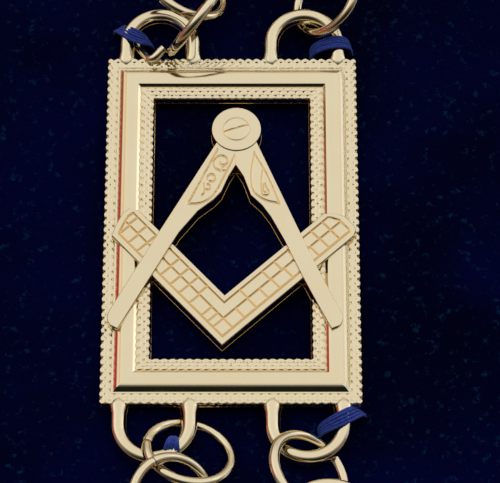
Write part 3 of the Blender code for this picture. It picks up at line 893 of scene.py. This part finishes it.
class Nodes:
    """Adds nodes to one material or world."""

    def __init__(self, tree):
        self.tree = tree

    def add(self, kind, settings=None, values=(), output=0):
        """A node of that type: its settings first, then values or links by socket name or number."""
        node = self.tree.nodes.new(kind)
        for name, value in (settings or {}).items():
            setattr(node, name, value)
        pairs = values.items() if isinstance(values, dict) else enumerate(values)
        for key, value in pairs:
            if isinstance(value, Value):
                self.tree.links.new(value.socket, node.inputs[key])
            else:
                node.inputs[key].default_value = value
        return Value(self, node.outputs[output])

    def mix(self, share, first, second):
        """A colour between two colours: Mix's colour sockets are its seventh and eighth."""
        settings = {"data_type": "RGBA"}
        first, second = (c if isinstance(c, Value) else (*c, 1.0) for c in (first, second))
        return self.add("ShaderNodeMix", settings, {0: share, 6: first, 7: second}, 2)

    def noise(self, place, scale, detail=2.0, roughness=0.5):
        values = {"Vector": place, "Scale": scale, "Detail": detail, "Roughness": roughness}
        return self.add("ShaderNodeTexNoise", {}, values)


def new_material(name, settings):
    """(material, its nodes, its Principled shader), with the settings as the shader's socket values."""
    made = bpy.data.materials.get(name) or bpy.data.materials.new(name)
    made.use_nodes = True
    shader = made.node_tree.nodes["Principled BSDF"]
    for socket, value in settings.items():
        shader.inputs[socket].default_value = value
    return made, Nodes(made.node_tree), shader


def link(nodes, value, socket):
    nodes.tree.links.new(value.socket, socket)


def add_bumps(nodes, shader, strength, distance, height):
    values = {"Strength": strength, "Distance": distance, "Height": height}
    link(nodes, nodes.add("ShaderNodeBump", {}, values), shader.inputs["Normal"])


def object_place(nodes):
    return nodes.add("ShaderNodeTexCoord", output="Object")


def gilt(name, colours, shade_share, roughness):
    """Polished gilding: painted shade makes it darker and warmer in the hollows and on the walls, which are
    also duller, with faint blotches and fine scratches.
    """
    made, nodes, shader = new_material(name, {"Metallic": 1.0})
    place = object_place(nodes)
    hollow = nodes.add("ShaderNodeAttribute", {"attribute_name": "hollow"}, output="Fac")
    blotch = nodes.noise(place, 180.0, 3.0).between(0.35, 0.7)
    grain = nodes.noise(place, 2600.0, 3.0, 0.6)
    stretch = {"Vector": place, "Scale": (9.0, 1.0, 1.0), "Rotation": (0, 0, 0.4)}
    stretched = nodes.add("ShaderNodeMapping", {}, stretch)
    scratch = nodes.noise(stretched, 900.0, 4.0, 0.7)
    wear_and_shade = nodes.mix(blotch * 0.14, colours.gilt, colours.gilt_warm)
    # Painted shade: the hollow share mixes in the darker, warmer gilt colour
    link(nodes, nodes.mix(hollow * shade_share, wear_and_shade, colours.gilt_shaded), shader.inputs["Base Color"])
    rough = roughness + 0.05 * blotch + 0.06 * scratch.between(0.5, 0.8) + 0.12 * hollow
    link(nodes, rough, shader.inputs["Roughness"])
    add_bumps(nodes, shader, 0.10, 0.00003, grain * 0.5 + scratch * 0.5)
    return made


def velvet_material(colours):
    """Deep pile: tufts lean in patches, fine tips are painted lighter as highlights, and specks are painted
    as glints of light.
    """
    settings = {
        "Roughness": 0.9,
        "Specular IOR Level": 0.02,
        "Sheen Weight": 0.02,
        "Sheen Roughness": 0.4,
        "Sheen Tint": (0.04, 0.12, 0.60, 1.0),
    }
    made, nodes, shader = new_material("velvet_pile", settings)
    place = object_place(nodes)
    patch = nodes.noise(place, 45.0, 3.0).between(0.3, 0.75)
    tuft = nodes.noise(place, 1500.0, 3.0, 0.7)
    tips = tuft.between(0.55, 0.78)
    # Painted highlights: teal specks stand for glints of light in the pile
    glint_specks = nodes.noise(place, 800.0, 5.0, 0.75).between(0.56, 0.68)
    # The patches are tone that varies at random; the tips' share paints highlights
    shade = nodes.mix(patch * 0.6 + tips * 0.4, colours.velvet_deep, colours.velvet)
    speckled = nodes.mix(glint_specks * 0.5, shade, colours.pile_tip)
    link(nodes, speckled, shader.inputs["Base Color"])
    add_bumps(nodes, shader, 0.8, 0.0004, tuft + patch * 0.5)
    return made


def thread_material(colours):
    """Twisted cotton: fine fibres cross each thread, with painted shade between them."""
    made, nodes, shader = new_material("blue_thread", {"Roughness": 0.75, "Sheen Weight": 0.08})
    place = object_place(nodes)
    fibre = nodes.noise(place, 2400.0, 3.0, 0.65)
    # Painted shade: the thread's colour darkens between the fibres
    fibre_shade = tuple(0.35 * channel for channel in colours.thread)
    link(nodes, nodes.mix(fibre.between(0.3, 0.65), fibre_shade, colours.thread), shader.inputs["Base Color"])
    add_bumps(nodes, shader, 0.6, 0.00012, fibre)
    return made


def floor_material(colours):
    made, nodes, shader = new_material("studio_floor", {"Roughness": 0.7})
    tone = nodes.noise(object_place(nodes), 3.0, 2.0)
    pale = tuple(0.94 * channel for channel in colours.floor)
    link(nodes, nodes.mix(tone, pale, colours.floor), shader.inputs["Base Color"])
    return made


# Studio


def look_along(place, position, direction, up):
    """A matrix in metres whose -Z looks along direction and whose +Y is up, both in a place's axes."""
    local = np.eye(4)
    local[:3, 0], local[:3, 1] = np.cross(direction, up), up
    local[:3, 2], local[:3, 3] = -np.array(direction), position
    made = place @ local
    made[:3, 3] *= MM
    return Matrix(made.tolist())


def sky(world, place, strength):
    """The studio around the collar, by direction from it: x and y along the shown plate, z up."""
    world.use_nodes = True
    nodes = Nodes(world.node_tree)
    direction = nodes.add("ShaderNodeTexCoord", output="Generated")

    def towards(x, y, z):
        axis = tuple(place[:3, :3] @ np.array((x, y, z)))
        settings = {"operation": "DOT_PRODUCT"}
        return nodes.add("ShaderNodeVectorMath", settings, (direction, axis), "Value")

    up = towards(0, 0, 1)
    away = towards(0, 1, 0)
    across = towards(1, 0, 0)
    # A soft box over the plate's far end, a pale dome, a low rim beyond it and a bluish strip on the right
    box = towards(0.0, 0.454, 0.891) + 0.24 * across * across
    box = box.between(cos(radians(52)), cos(radians(34)))
    behind = 1 - away.between(-0.75, -0.1)
    dome = up.between(0.1, 0.5) * 0.22 * (1 - behind)
    right = towards(0.89, 0.40, 0.2).between(0.87, 0.915) * (1 - 0.6 * up.between(0.06, 0.12))
    rim = up.between(0.10, 0.16) * (1 - up.between(0.27, 0.36))
    rim = rim * towards(0.5, 0.87, 0.0).between(0.45, 0.75)
    # A red glow low on the left, and a warm dim room that is brighter at the height of the plate
    left = towards(-0.97, 0.2, 0.0).between(0.91, 0.96)
    level = 1 - up.most(0 - up).between(0.10, 0.34)
    dim = nodes.mix(behind, (0.065, 0.047, 0.030), (0.010, 0.014, 0.010))
    room = nodes.mix(level, dim, (0.26, 0.15, 0.07))
    glow = nodes.mix(left, room, (0.54, 0.035, 0.055))
    flare = 0.5 * across * across * (1 - across.between(-0.1, 0.3))
    white = box * (0.62 + 0.05 * across + flare) + dome + rim * 0.45
    channels = {"Red": white + right * 0.58, "Green": white + right * 0.72}
    channels["Blue"] = white * 0.985 + right * 0.96
    grey = nodes.add("ShaderNodeCombineColor", {}, channels)
    settings = {"data_type": "RGBA", "blend_type": "ADD"}
    total = nodes.add("ShaderNodeMix", settings, {0: 1.0, 6: grey, 7: glow}, 2)
    background = world.node_tree.nodes["Background"]
    link(nodes, total, background.inputs["Color"])
    background.inputs["Strength"].default_value = strength


def colour(name, description, value):
    return bpy.props.FloatVectorProperty(
        name=name, description=description, subtype="COLOR", size=3, min=0.0, max=1.0, default=value
    )


def length(name, description, value):
    return bpy.props.FloatProperty(
        name=name, description=description, unit="LENGTH", precision=5, min=0.0, default=value
    )


class CollarSizes(bpy.types.PropertyGroup):
    """Sizes of the fine work."""

    bead_length: length("Bead length", "Length of each bead along a plate's border", 0.00116)
    bead_width: length("Bead width", "Width of each bead across the border", 0.00080)
    bead_height: length("Bead height", "How far each bead stands over the border", 0.00016)
    engraving_depth: length("Engraving depth", "Depth of the lines in the emblem", 0.00009)
    pile_height: length("Pile height", "Height of the velvet over its backing", 0.0011)
    thread_width: length("Thread width", "Width of each thread that holds a loop down", 0.00042)


class CollarColours(bpy.types.PropertyGroup):
    """Colours of the metal, cloth and studio."""

    gilt: colour("Gilding", "Polished gilding", (0.80, 0.70, 0.485))
    gilt_warm: colour("Warm gilding", "Gilding where it is thinner", (0.78, 0.60, 0.34))
    # The darker, warmer gilt colour is painted shade in lines, between beads and on walls
    gilt_shaded: colour("Deep gilding", "Gilding in lines and between beads", (0.66, 0.39, 0.12))
    velvet: colour("Velvet", "Velvet where the pile stands", (0.0006, 0.0020, 0.056))
    velvet_deep: colour("Velvet depths", "Velvet between the tufts", (0.0001, 0.0003, 0.013))
    pile_tip: colour("Pile tips", "Specks that catch the light", (0.004, 0.040, 0.110))
    thread: colour("Thread", "Thread that holds the loops down", (0.016, 0.058, 0.46))
    floor: colour("Floor", "Studio floor", (0.78, 0.77, 0.75))


def add_floor(colours):
    reach, count, drop = 3.5, 15, 0.0002
    lines = np.linspace(-reach, reach, count)
    x, y = np.meshgrid(lines, lines, indexing="ij")
    mesh = bpy.data.meshes.new("floor")
    points = np.stack([x, y, 0 * x - drop], -1).reshape(-1, 3)
    mesh.from_pydata(points.tolist(), [], grid_quads(count, count).tolist())
    mesh.materials.append(floor_material(colours))
    floor = linked("floor", mesh)
    floor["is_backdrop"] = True


def add_camera(scene, place):
    """A long lens, aimed near the shown plate's middle from above and from beyond its -Y end."""
    data = bpy.data.cameras.new("camera")
    data.lens = 201.0
    data.sensor_width = 36.0
    data.clip_start = 0.01
    camera = linked("camera", data)
    x, y, z = 2.46, -2.36, 1.15
    tilt, distance = radians(63), 369.5
    position = (x, y - distance * cos(tilt), distance * sin(tilt) + z)
    ahead, up = (0.0, cos(tilt), -sin(tilt)), (0.0, sin(tilt), cos(tilt))
    camera.matrix_world = look_along(place, position, ahead, up)
    scene.camera = camera


def add_window_panel(place):
    """A low square light beyond the right of the shown plate, facing it."""
    data = bpy.data.lights.new("window_panel", "AREA")
    data.shape = "SQUARE"
    data.size = 0.35
    data.energy = 0.22
    panel = linked("window_panel", data)
    towards, distance = np.array((0.862, 0.448, 0.237)), 1400.0
    panel.matrix_world = look_along(place, towards * distance, -towards, (-0.210, -0.109, 0.972))


class COLLAR_OT_stage(bpy.types.Operator):
    """Sets up the floor, the light and the camera"""

    bl_idname = "collar.stage"
    bl_label = "Stage"

    def execute(self, context):
        scene = context.scene
        place = plate_place(*SHOWN)
        add_floor(scene.collar_colours)
        add_camera(scene, place)
        scene.view_settings.view_transform = "Standard"
        scene.world = bpy.data.worlds.new("studio")
        sky(scene.world, place, 1.0)
        add_window_panel(place)
        return {"FINISHED"}


class COLLAR_OT_velvet(bpy.types.Operator):
    """Lays the velvet band"""

    bl_idname = "collar.velvet"
    bl_label = "Velvet"

    def execute(self, context):
        sizes = context.scene.collar_sizes
        colours = context.scene.collar_colours
        shells, finish = [velvet_shell(sizes)], velvet_material(colours)
        piece = add_piece("velvet_band", shells, finish, ["backing"], 60.0)
        return {"FINISHED"}


class COLLAR_OT_frames(bpy.types.Operator):
    """Casts the twelve beaded frames with their loops"""

    bl_idname = "collar.frames"
    bl_label = "Frames"

    def execute(self, context):
        sizes = context.scene.collar_sizes
        colours = context.scene.collar_colours
        finish = gilt("frame_gilding", colours, 0.75, 0.10)
        cast = {}
        for fine in (True, False):
            loops = [cast_loop(row, end, fine) for row in (-1, 1) for end in (-1, 1)]
            cast[fine] = [moulding(sizes, fine), *loops]
        add_castings(cast, "plate", "frame", finish, 36.0)
        return {"FINISHED"}


class COLLAR_OT_emblems(bpy.types.Operator):
    """Casts the twelve squares and compasses"""

    bl_idname = "collar.emblems"
    bl_label = "Squares and compasses"

    def execute(self, context):
        sizes = context.scene.collar_sizes
        colours = context.scene.collar_colours
        finish = gilt("emblem_gilding", colours, 0.95, 0.12)
        askew = shift(0, EMBLEM_RISE, EMBLEM_LEVEL) @ turn("z", EMBLEM_TURN)
        cast = {}
        for fine in (True, False):
            legs = [leg_shell(side_name, sizes, fine) for side_name in SIDES]
            shells = [square_shell(sizes, fine), *legs, head_shell(fine)]
            cast[fine] = [moved(shell, askew) for shell in shells]
        add_castings(cast, "compasses", "emblem", finish, 50.0)
        return {"FINISHED"}


class COLLAR_OT_rings(bpy.types.Operator):
    """Links the plates with jump rings, and the two halves with the ring at the front point"""

    bl_idname = "collar.rings"
    bl_label = "Rings"

    def execute(self, context):
        colours = context.scene.collar_colours
        finish = gilt("wire_gilding", colours, 0.5, 0.10)
        draws = np.random.default_rng(7)
        for node, start, end, rings in chain_rows():
            shells = run_shells(start, end, rings, draws)
            add_piece(node.replace("rings_", "links_"), shells, finish, [node], 60.0)
        plate = plate_place(*SHOWN)
        for pose in RING_POSES:
            place = plate @ shift(pose.x, pose.y, pose.z + BACKING_TOP - PLATE_Z)
            place = place @ turn("z", radians(pose.azimuth)) @ turn("x", radians(pose.lean))
            shells = [ring_shell(place, 112, 28, pose.cut)]
            if pose.name == "4_inner_3":
                shells.append(moved(loose_end_shell(), plate))
            name, node = f"link_{SHOWN[0]}_{pose.name}", f"ring_{SHOWN[0]}_{pose.name}"
            add_piece(name, shells, finish, [node], 60.0)
        middle = shift(*point_ring_middle()) @ shift(0, 0, 0.3)
        ring = ring_shell(middle, 96, 20, 90, POINT_RING_RADIUS, POINT_RING_WIRE)
        add_piece("link_front_point", [ring], finish, ["point_ring"], 60.0)
        return {"FINISHED"}


class COLLAR_OT_stitches(bpy.types.Operator):
    """Sews each loop down to the velvet"""

    bl_idname = "collar.stitches"
    bl_label = "Stitches"

    def execute(self, context):
        sizes = context.scene.collar_sizes
        colours = context.scene.collar_colours
        finish = thread_material(colours)
        draws = np.random.default_rng(11)
        for side_name, number, place in plates():
            shells = [moved(shell, place) for shell in stitch_shells(sizes, draws)]
            add_piece(f"stitches_{side_name}_{number}", shells, finish, [], 60.0)
        return {"FINISHED"}


OPERATORS = (
    COLLAR_OT_stage,
    COLLAR_OT_velvet,
    COLLAR_OT_frames,
    COLLAR_OT_emblems,
    COLLAR_OT_rings,
    COLLAR_OT_stitches,
)


class COLLAR_PT_panel(bpy.types.Panel):
    """Lists the collar's operators and settings"""

    bl_idname = "COLLAR_PT_panel"
    bl_label = "Chain of office"
    bl_space_type = "VIEW_3D"
    bl_region_type = "UI"
    bl_category = "Collar"

    def draw(self, context):
        for group in (context.scene.collar_sizes, context.scene.collar_colours):
            for name in group.bl_rna.properties.keys():
                if name not in ("rna_type", "name"):
                    self.layout.prop(group, name)
        for operator in OPERATORS:
            self.layout.operator(operator.bl_idname)


CLASSES = (CollarSizes, CollarColours, *OPERATORS, COLLAR_PT_panel)


def register():
    for made in CLASSES:
        bpy.utils.register_class(made)
    bpy.types.Scene.collar_sizes = bpy.props.PointerProperty(type=CollarSizes)
    bpy.types.Scene.collar_colours = bpy.props.PointerProperty(type=CollarColours)


def unregister():
    del bpy.types.Scene.collar_colours
    del bpy.types.Scene.collar_sizes
    for made in reversed(CLASSES):
        bpy.utils.unregister_class(made)


def main():
    register()
    for operator in OPERATORS:
        group, name = operator.bl_idname.split(".")
        getattr(getattr(bpy.ops, group), name)()
    boxes = {"cad": CAD_BOX, "visual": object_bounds()}
    {name: [list(corner) for corner in box] for name, box in boxes.items()}


if __name__ == "__main__":
    main()
